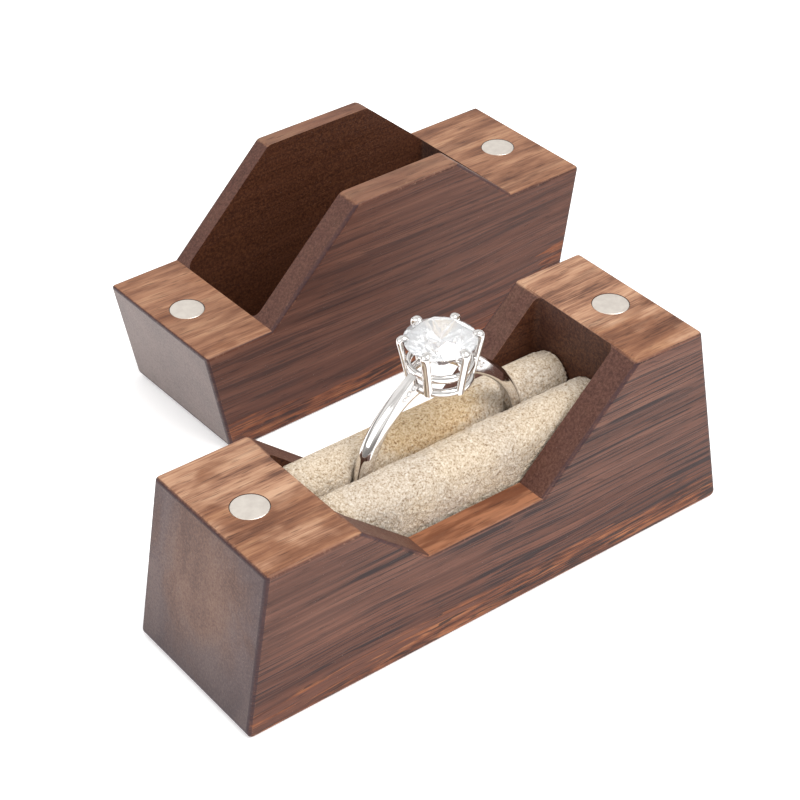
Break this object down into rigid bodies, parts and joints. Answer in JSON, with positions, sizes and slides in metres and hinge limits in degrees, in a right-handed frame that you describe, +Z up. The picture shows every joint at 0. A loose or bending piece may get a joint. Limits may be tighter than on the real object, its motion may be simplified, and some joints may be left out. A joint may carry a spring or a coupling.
{
  "type": "wooden ring box",
  "caption": "Slim two-part hardwood ring box with a stepped parting line, flush disc magnets and suede rolls holding a solitaire ring; the lid lies upside down behind it.",
  "frame": {"origin": "centre of the base's flat underside", "axes": "+X along the box towards its taller right step, +Y from the front wall to the rear wall, +Z up"},
  "size_m": [0.0754, 0.0583, 0.0295],
  "materials": {
    "walnut": "oiled, satin, fine lengthwise grain",
    "magnet": "satin nickel plate",
    "card": "plain stiff card",
    "foam": "open-cell foam",
    "suede": "short napped suede",
    "white_metal": "mirror polish",
    "brilliant": "clear, polished, faceted"
  },
  "bodies": {
    "base": {"base_block": "walnut", "base_magnet_left": "magnet", "base_magnet_right": "magnet", "cushion_card": "card", "front_roll_core": "foam", "front_roll_cover": "suede", "rear_roll_core": "foam", "rear_roll_cover": "suede"},
    "ring": {"ring_shank": "white_metal", "ring_head": "white_metal", "ring_stone": "brilliant", "ring_accent_stones": "brilliant"},
    "lid": {"lid_block": "walnut", "lid_magnet_left": "magnet", "lid_magnet_right": "magnet"}
  },
  "joints": [
    {"name": "ring_lift", "type": "slide", "parent": "base", "child": "ring", "axis": [0, 0, 1], "range_m": [0, 0.03]},
    {"name": "lid_lift", "type": "slide", "parent": "base", "child": "lid", "axis": [0, 0, 1], "range_m": [0, 0.045]}
  ]
}
